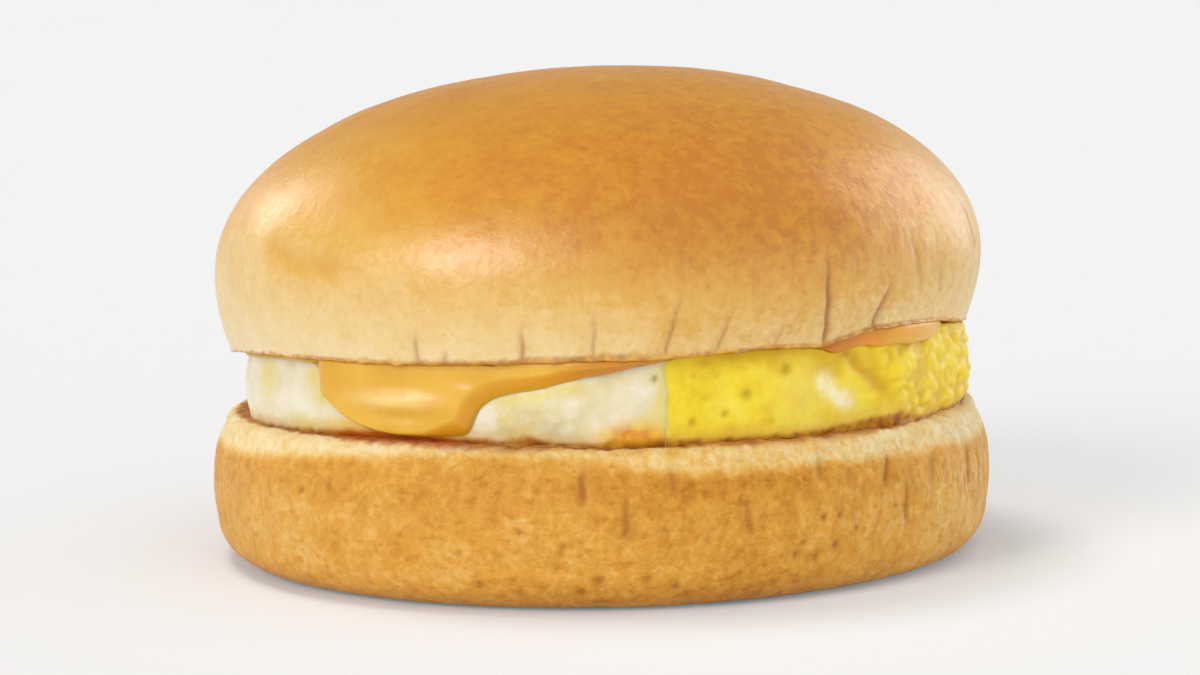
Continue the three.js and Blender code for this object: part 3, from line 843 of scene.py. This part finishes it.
def eggForm(bearing, start):
    form, look = eggShape, eggDetail
    side = eggSide(bearing)
    foot = form["foot"]
    shoulder = shoulderSize(bearing)
    roof = eggTop(bearing, start)
    floor = heelFace(bearing, side - foot) - form["sink"]

    radius = (side - foot) * fromMiddle(look["underRows"])
    rows = [(radius, heelFace(bearing, radius) - form["sink"])]
    turn = shares(look["footRows"]) * quarter
    rows.append((side - foot * (1 - np.sin(turn)), floor + foot * (1 - np.cos(turn))))
    high = roof - shoulder
    z = mix(floor + foot, high, shares(look["sideRows"]))
    rows.append((side + eggBelly((high - z) / (high - heelShape["height"])), z))
    turn = shares(look["shoulderRows"]) * quarter
    rows.append((side - shoulder * (1 - np.cos(turn)), roof - shoulder * (1 - np.sin(turn))))
    # millimetres in from the edge, closer together over the first 6, where the slice ends
    near = 6 * shares(look["topEdgeRows"])
    inward = np.vstack([near, mix(6, sideRadius - 2, shares(look["topRows"] - 1))])
    radius = start * (1 - inward / sideRadius)
    rows.append((radius, eggTop(bearing, radius)))
    return floor, *stackRows(rows, bearing)


def eggRelief(bearing, radius, z, grid, start, reach, floor):
    look = eggDetail
    row = np.arange(len(z))[:, None]
    sideStart = look["underRows"]
    sideEnd = sideStart + look["footRows"] + look["sideRows"] + look["shoulderRows"]
    onSide = between(row, (sideStart - 1, sideStart + 3), (sideEnd - 3, sideEnd + 2))
    free = onSide * (1 - smooth(reach - start, 1.4, 3))  # not covered by the cheese
    yolky = smooth(turned(bearing, look["yolkFrom"]), 0, 1.5) * (1 - smooth(bearing, *look["yolkTo"]))
    grainy = smooth(bearing - 1.5 * (24 - z), *look["grainyFrom"])

    soft = mix(1.0, mix(0.25, 0.6, grainy), yolky)
    push = soft * look["curd"] * (grain(grid, look["curdSize"], 2, (1, 1, 1.3), shift=3) - 0.2)
    push = push + mix(1, 0.7, yolky) * lumps(grid, look["lump"]) + lumps(grid, look["pimple"])
    crumbs = np.abs(grain(grid, look["crumbSize"], 2, (1.5, 1.5, 0.8), 21)) - 0.25
    push = push + yolky * grainy * look["crumb"] * crumbs
    push = push + yolky * grainy * look["curdled"] * (curds(grid, look["curdledSize"], 21) - 0.5)
    holes, holeCore = pits(look["yolkPits"], bearing, z, radius)
    shadedNick, nickCore = pits(look["whitePits"], bearing, z, radius)

    fold = look["fold"]
    (topAt, topZ), (bottomAt, bottomZ) = fold["top"], fold["bottom"]
    along = (topZ - z) / (topZ - bottomZ)
    away = np.radians(turned(bearing, mix(topAt, bottomAt, along))) * radius
    shadedFurrow = np.exp(-(away / fold["wide"]) ** 2) * between(along, (-0.3, 0.1), (0.8, 1.2))
    push = push - yolky * (holes + fold["deep"] * shadedFurrow) - shadedNick
    shade = 0.9 * np.clip(spots(bearing, z, look["shade"]), 0, 1)
    flap = spot(bearing, z, *look["scrap"])
    push = push * free + look["scrapOut"] * flap * onSide

    up = z - floor
    browned = through(bearing, look["browned"]) + lumps(grid, look["brownedRagged"])
    patch = lineDistance(bearing, z, look["patch"]) + lumps(grid, look["patchRagged"])
    farLeft = 1 - smooth(bearing, -50, -42)
    # hollows, holes, the nick, the furrow and the shade spots carry painted shade; the tinge is partly
    # painted shade
    return push, dict(
        pale=np.clip(farLeft + 0.7 * spots(bearing, z, look["paler"]), 0, 1),
        shadedHollow=np.clip(-push / 0.4, 0, 1) * free, shadedHole=holeCore * yolky, shadedNick=nickCore,
        shadedFurrow=np.maximum(shadedFurrow, shade) * yolky, flap=flap * onSide, grainy=grainy * yolky,
        low=smooth(browned - up, -0.35, 0.45), golden=smooth(1.6 * browned + 0.6 - up, -0.9, 0.9),
        streak=np.exp(-np.maximum(0, patch / look["patchWide"]) ** 2) * yolky,
        scorch=between(bearing, *look["scorchSpan"]), tingeAndShade=np.clip(spots(bearing, z, look["tingedAndShaded"]), 0, 1),
    )


def makeDrum(name, extra):
    # the wall between white and yolk stands upright and wavers a little
    look = eggDetail
    turn = np.linspace(-180, 180, 720, endpoint=False)
    z = np.linspace(8, 38, 61)[:, None]
    waver = lumps(ringPoints(look["wallRadius"], z, turn), look["wallWave"])
    grid = ringPoints(look["wallRadius"] + extra + waver, z, turn)
    return ringMesh(name, grid + ringPoints(look["wallReach"], 0, look["wallBearing"]))


def cutMesh(name, mesh, drum, operation):
    piece = newObject(name, mesh)
    tool = newObject(name + "Tool", drum)
    cutter = piece.modifiers.new("cut", "BOOLEAN")
    cutter.operation = operation
    cutter.solver = "EXACT"
    cutter.object = tool
    view = bpy.context.evaluated_depsgraph_get()
    result = bpy.data.meshes.new_from_object(piece.evaluated_get(view), depsgraph=view)
    for thing in (piece, tool):
        bpy.data.objects.remove(thing)
    bpy.data.meshes.remove(drum)
    result.name = name
    result.materials.clear()
    result.set_sharp_from_angle(angle=math.radians(50))
    return result


def makeEgg():
    look = eggDetail
    bearing = bearings(look["busy"])
    start = shoulderStart(bearing)
    reach = sliceReach(bearing)
    floor, radius, z = eggForm(bearing, start)
    grid = ringPoints(radius, z, bearing)
    push, values = eggRelief(bearing, radius, z, grid, start, reach, floor)
    whole = ringMesh("egg", grid + outward(grid) * push[..., None], values)
    gap = look["wallGap"]
    white = cutMesh("egg_white_round", whole.copy(), makeDrum("drum", gap), "DIFFERENCE")
    yolk = cutMesh("egg_yolk_run", whole, makeDrum("drum", -gap), "INTERSECT")
    addPiece("white", white, whiteFinish(whiteTones), "egg_white")
    addPiece("yolk", yolk, yolkFinish(yolkTones), "egg_yolk")


whiteTones = dict(
    clouds=[(0.0, (214, 199, 136)), (0.35, (226, 214, 167)), (0.65, (233, 224, 196)), (1.0, (241, 235, 216))],
    paints=[
        # the hollow and nick colours are painted shade, and the tinge colour partly painted shade
        ("pale", 0.75, (246, 239, 216)), ("shadedHollow", 0.6, (214, 200, 136)),
        ("tingeAndShade", 0.75, (228, 210, 110)), ("shadedNick", 0.8, (150, 140, 50)),
    ],
    flap=[(0.3, (240, 190, 44)), (0.8, (218, 142, 40))], soft=(0.5, (2.2, 1.8, 1.3), 0.5),
)
yolkTones = dict(
    clouds=[(0.0, (232, 198, 34)), (0.5, (243, 217, 42)), (1.0, (248, 228, 78))],
    paints=[("grainy", 0.6, (250, 214, 8)), ("tingeAndShade", 0.4, (240, 214, 124))], grains=(252, 226, 84),
    # hollows, holes and the furrow are painted darker: painted shade
    shadedHollows=[("shadedHollow", 0.8, (218, 174, 6)), ("shadedHole", 0.6, (186, 158, 24)), ("shadedFurrow", 0.7, (216, 168, 4))],
    streak=(255, 244, 206), soft=(0.4, (1.8, 1.3, 0.4), 0.5),
)
footTones = dict(
    clouds=[(0.2, (214, 152, 40)), (0.8, (158, 90, 4))], paints=[("scorch", 0.85, (190, 92, 2))],
    golden=(236, 198, 86),
)


def brownedFoot(tree, colour):
    # the egg's foot is browned, redder under the run of cheese
    foot = ramp(tree, speckle(tree, 1.8, 2, shift=37), footTones["clouds"])
    foot = paints(tree, foot, footTones["paints"])
    golden = timesPlus(tree, held(tree, "scorch"), 0.4, 0.5)
    colour = paint(tree, times(tree, held(tree, "golden"), golden), colour, footTones["golden"])
    return paint(tree, held(tree, "low"), colour, foot)


def whiteFinish(look):
    finish, tree, shader = newFinish("cooked white")
    colour = ramp(tree, speckle(tree, 4, 3, 0.55, shift=3), look["clouds"])
    colour = brownedFoot(tree, paints(tree, colour, look["paints"]))
    flap = times(tree, held(tree, "flap"), 1.3, clamp=True)
    colour = paint(tree, flap, colour, ramp(tree, speckle(tree, 2.4, 2, shift=41), look["flap"]))
    fine = speckle(tree, 0.8, 2, shift=12)
    coat(tree, shader, colour, timesPlus(tree, fine, 0.15, 0.33), look["soft"], [(fine, 0.05)])
    return finish


def yolkFinish(look):
    finish, tree, shader = newFinish("cooked yolk")
    colour = ramp(tree, speckle(tree, 3, 3, 0.55, shift=23), look["clouds"])
    colour = paints(tree, colour, look["paints"])
    rough = speckle(tree, 1.4, 2, shift=29)
    grains = times(tree, times(tree, held(tree, "grainy"), rough), 0.3)
    colour = paints(tree, paint(tree, grains, colour, look["grains"]), look["shadedHollows"])
    streak = times(tree, held(tree, "streak"), timesPlus(tree, rough, 0.5, 0.6), clamp=True)
    colour = brownedFoot(tree, paint(tree, streak, colour, look["streak"]))
    fine = speckle(tree, 0.6, 2, shift=15)
    feed(tree, shader, {"Specular IOR Level": 0.3})
    coat(tree, shader, colour, timesPlus(tree, fine, 0.18, 0.38), look["soft"], [(fine, 0.03)])
    return finish


# melted cheese

cheeseDetail = dict(
    flatRows=10, hangRows=52, edgeRows=5,
    busy=[-46.2, -45, -42.5, -20, -18.6, -17, -14, 8, 35, 64], busyShare=1.4,
    square=0.85, ripple=(0.06, 4, 2, 83),
    # how far in from its edge the slice slopes away
    slopes=[
        [-52, 0.3], [-46, 0.6], [-30, 0.6], [-26, 0.9], [-23.5, 1.7], [-21, 2.3], [-18, 2.4], [-12, 2],
        [-8, 1.7], [-5, 1.6], [-1.8, 1.1], [3, 0.7], [7, 0.4], [9, 0.3], [30, 0.5], [38, 0.9], [60, 0.9],
    ],
    bluntness=0.9, cutSpan=[(-27, -22), (6, 10)], cutThin=0.75,
    # how far the slice is tinted brown at each bearing
    brownTint=[[-8, 0], [-1, 0.8], [10, 0.9], [11, 0], [34, 0.9], [38, 0.8], [43, 0.1], [50, 0]],
    # where the slice shows as a narrow band it stands out from the egg
    bandSpan=[(-47.6, -46.6), (9.5, 11)], stripSpan=[(34, 37), (65, 68)],
    bandIn=1.5, bandDepth=3.8, hangDepth=1.2, bandRadius=46.5, borderOut=0.3, tuck=0.12, turnIn=0.2,
    bandOut=[
        [-48, 0.5], [-46.4, 0.8], [-44.5, 1.8], [-12, 1.8], [0, 1.6], [5, 1.2], [9, 0.6], [33, 0.4],
        [40, 0.9], [60, 0.9], [66, 0.5],
    ],
    orangeSpan=[(30, 36), (70, 76)], peachFrom=(43, 54), highlightAbove=(0.7, 1.5),
    # height, half width in degrees, half height
    ridge=[-31, 24, 7.5, 1.15], ridgeOut=0.6,
    # the crest's pale colour is a painted highlight and the dent's darker colour painted shade
    crest=[-31, 24.3, 6.375, 0.92],
    shadedDent=[-29.5, 22.3, 5, 0.8], dentDeep=0.3,
    fold=[-19.5, 25.6, 2.2, 1.3], foldOut=0.22,
)


def edgeDistance(bearing, along, reach):
    # shortest way over the egg from each point of the slice to its outer edge
    side = np.radians(bearing) * sideRadius
    around = 2 * math.pi * sideRadius
    away = np.full(along.shape, np.inf)
    for step in range(-45, 45):
        x, nextX = [(np.roll(side, -to) - side + around / 2) % around - around / 2 for to in (step, step + 1)]
        y, nextY = [np.roll(reach, -to) for to in (step, step + 1)]
        away = np.minimum(away, toSegment(-x, along - y, nextX - x, nextY - y))
    return away


def makeCheese():
    look = cheeseDetail
    gap = eggShape["restGap"]
    bearing = bearings(look["busy"], look["busyShare"])
    start = shoulderStart(bearing)
    shoulder = shoulderSize(bearing)
    reach = sliceReach(bearing)
    rimTop = sliceBed(bearing, start)
    banded = between(bearing, *look["bandSpan"])
    banded = banded + between(bearing, *look["stripSpan"])
    depth = mix(look["hangDepth"], look["bandDepth"], banded)
    inner = np.minimum(start - look["bandIn"] * banded, reach - depth)

    # rows go out along the underside, round the edge and back along the top
    hang = inner + (reach - inner) * shares(look["hangRows"])
    along = np.vstack([inner * fromMiddle(look["flatRows"]), hang])
    away = edgeDistance(bearing, along, reach)
    cut = between(bearing, *look["cutSpan"])
    closing = np.clip(1 - away / through(bearing, look["slopes"]), 0, 1)
    blunt = look["bluntness"] * (1 - np.sqrt(np.maximum(0, 1 - closing ** 2)))
    edge = mix(blunt, look["cutThin"] * closing ** 1.4, cut)

    def skin(lift, square):
        # radius and height of a face of the slice that lies this far above the egg
        flatZ = crownFace(bearing, along) - gap - sliceDepth(bearing, along) + lift
        angle = np.clip((along - start) / shoulder, 0, quarter)
        off = shoulder + gap + lift
        down = np.maximum(0, along - start - shoulder * quarter)
        rim = rimTop - shoulder
        bentR = start + off * np.sin(angle) ** square + eggBelly(down / (rim - heelShape["height"]))
        bentZ = rim + off * np.cos(angle) ** square - down
        inside = along <= start
        return np.where(inside, along, bentR), np.where(inside, flatZ, bentZ)

    lowR, lowZ = skin(0 * away, 1)
    low = ringPoints(lowR, lowZ, bearing)
    upperR, upperZ = skin(sliceDepth(bearing, along) * (1 - edge), look["square"])
    # the band's face goes up to the crown and turns in under it with a small round
    tall = np.maximum(crownFace(bearing, look["bandRadius"]) + look["tuck"] - lowZ[-1], 0.05)
    turnIn = np.minimum(look["turnIn"], tall / 4)
    inward = reach - along
    over = turnIn * np.logaddexp(0, (inward - tall) / turnIn)
    rounded = mix(np.sqrt(1 - closing ** 2), (1 - closing) ** 0.8, cut)
    out = mix(look["borderOut"], through(bearing, look["bandOut"]), rounded)
    upperR = mix(upperR, np.maximum(eggSide(bearing) + out - over, lowR), banded)
    upperZ = mix(upperZ, np.maximum(lowZ[-1] + inward - over, lowZ), banded)
    high = ringPoints(upperR, upperZ, bearing)

    push = lumps(high, look["ripple"])
    push = push + look["ridgeOut"] * spot(bearing, upperZ, *look["ridge"])
    push = push + look["foldOut"] * spot(bearing, upperZ, *look["fold"])
    shadedHollow = spot(bearing, upperZ, *look["shadedDent"])
    push = (push - look["dentDeep"] * shadedHollow) * (1 - closing) * smooth(along - start, 0.5, 2)
    high = high + outward(high[::-1])[::-1] * push[..., None]
    rim = mix(low[-1], high[-1], shares(look["edgeRows"] + 1)[:-1, :, None])
    grid = np.vstack([low, rim, high[::-1]])

    def both(value):
        # the same value under, round the edge and on top
        value = np.broadcast_to(value, along.shape)
        return np.vstack([value, np.repeat(value[-1:], look["edgeRows"], axis=0), value[::-1]])

    # peach is a painted highlight on the top of the strip's right end; crest is a painted highlight, and dent
    # and cut are painted shade on the tongue and its cut edge
    far = smooth(bearing, *look["peachFrom"])
    upper = smooth(upperZ - lowZ[-1], *look["highlightAbove"])
    values = dict(
        cut=smooth(closing, 0.02, 0.3) * cut, strip=between(bearing, *look["orangeSpan"]),
        peachHighlight=far * upper, tan=far * (1 - upper), shadedDent=shadedHollow,
        crest=spot(bearing, upperZ, *look["crest"]), brownTint=through(bearing, look["brownTint"]),
    )
    mesh = ringMesh("cheese", grid, {key: both(value) for key, value in values.items()})
    addPiece("cheese", mesh, cheeseFinish(cheeseTones), "cheese_slice")


cheeseTones = dict(
    clouds=[(0.0, (224, 168, 40)), (0.5, (229, 176, 48)), (1.0, (235, 186, 64))],
    paints=[
        # crest is a painted highlight; the dent and the cut edge are painted shade
        ("crest", 0.6, (252, 224, 158)), ("shadedDent", 0.6, (220, 172, 36)), ("cut", 0.9, (228, 162, 32)),
    ],
    orange=[(0.3, (226, 134, 14)), (0.8, (236, 160, 40))],
    # peach is a painted highlight
    orangePaints=[("peachHighlight", 0.8, (242, 178, 70)), ("tan", 0.8, (234, 184, 56))],
    brownTint=(204, 130, 26), soft=(0.45, (2.6, 1.5, 0.4), 0.6),
)


def cheeseFinish(look):
    finish, tree, shader = newFinish("melted cheese")
    colour = ramp(tree, speckle(tree, 6, 2, shift=51), look["clouds"])
    colour = paints(tree, colour, look["paints"])
    orange = ramp(tree, speckle(tree, 4, 2, shift=59), look["orange"])
    orange = paints(tree, orange, look["orangePaints"])
    colour = paints(tree, colour, [("strip", 0.85, orange)])
    colour = paint(tree, held(tree, "brownTint"), colour, look["brownTint"])
    fine = speckle(tree, 1.2, 2, shift=57)
    coat(tree, shader, colour, timesPlus(tree, fine, 0.1, 0.27), look["soft"], [(fine, 0.015)])
    return finish


makeHeel()
makeEgg()
makeCheese()
makeCrown()


# floor, light and camera

studio = dict(
    floorMetres=160, floorSink=0.05, floorTone=(0.78, 0.712, 0.665), floorGlow=(0.077, 0.149, 0.198),
    skyStrength=0.896, skyTop=0.25, skyFrom=0.02, skyTo=0.45,
    # bearing, height, strength and width of each lamp, and whether it lights, shines or does both
    lamps=dict(
        key=(-42, 28, 1.1, 28, "both"),
        keyLeft=(-58, 25, 0.35, 26, "shine"),
        keyRight=(-28, 25, 0.4, 26, "shine"),
        above=(-10, 60, 0.28, 60, "light"),
        front=(0, 30, 0.22, 90, "light"),
        fill=(78, 28, 1.05, 120, "light"),
        side=(-125, 72, 1.0, 22, "light"),
        rightRim=(129, 19, 0.98, 42, "shine"),
        leftRim=(-135, 25, 0.42, 15, "shine"),
    ),
)
shot = dict(distance=400, height=6.3, roll=1.1, aim=(0.19, 0, 26.6), lens=92.85)


def makeFloor():
    half = studio["floorMetres"] / 2
    z = -studio["floorSink"] * 0.001
    mesh = bpy.data.meshes.new("floor")
    corners = [(-half, -half, z), (half, -half, z), (half, half, z), (-half, half, z)]
    mesh.from_pydata(corners, [], [(0, 1, 2, 3)])
    finish, tree, shader = newFinish("pale floor")
    feed(tree, shader, {
        "Base Color": (*studio["floorTone"], 1), "Roughness": 0.9, "Specular IOR Level": 0.0,
        "Emission Color": (*studio["floorGlow"], 1), "Emission Strength": 1,
    })
    mesh.materials.append(finish)
    newObject("floor", mesh)


def makeLight():
    world = bpy.context.scene.world or bpy.data.worlds.new("studio")
    bpy.context.scene.world = world
    world.use_nodes = True
    tree = world.node_tree
    # the sky is brightest at the horizon, where the floor meets it
    way = addNode(tree, "TexCoord", {})
    parts = addNode(tree, "SeparateXYZ", {0: way.outputs["Generated"]})
    fade = addNode(tree, "MapRange", {
        "Value": parts.outputs["Z"], "From Min": studio["skyFrom"], "From Max": studio["skyTo"],
        "To Min": studio["skyStrength"], "To Max": studio["skyTop"],
    }, interpolation_type="SMOOTHSTEP")
    feed(tree, tree.nodes["Background"], {"Color": (1, 1, 1, 1), "Strength": fade.outputs[0]})
    for name, (bearing, height, strength, wide, use) in studio["lamps"].items():
        lamp = bpy.data.lights.new(name, "SUN")
        lamp.energy = strength
        lamp.angle = math.radians(wide)
        sun = newObject(name, lamp)
        sun.rotation_euler = (math.radians(90 - height), 0, math.radians(bearing))
        sun.visible_diffuse = use != "shine"
        sun.visible_glossy = use != "light"


def makeCamera():
    lens = bpy.data.cameras.new("camera")
    lens.lens = shot["lens"]
    lens.sensor_width = 36
    lens.clip_start = 0.01
    lens.clip_end = 500
    camera = newObject("camera", lens)
    aim = Matrix.Translation([part * 0.001 for part in shot["aim"]])
    lift = Matrix.Rotation(math.radians(90 - shot["height"]), 4, "X")
    away = Matrix.Translation((0, 0, shot["distance"] * 0.001))
    roll = Matrix.Rotation(math.radians(-shot["roll"]), 4, "Z")
    camera.matrix_world = aim @ lift @ away @ roll
    bpy.context.scene.camera = camera


makeFloor()
makeLight()
makeCamera()
bpy.context.scene.view_settings.view_transform = "Standard"
bpy.context.scene.view_settings.look = "None"
print("floor, light and camera set")
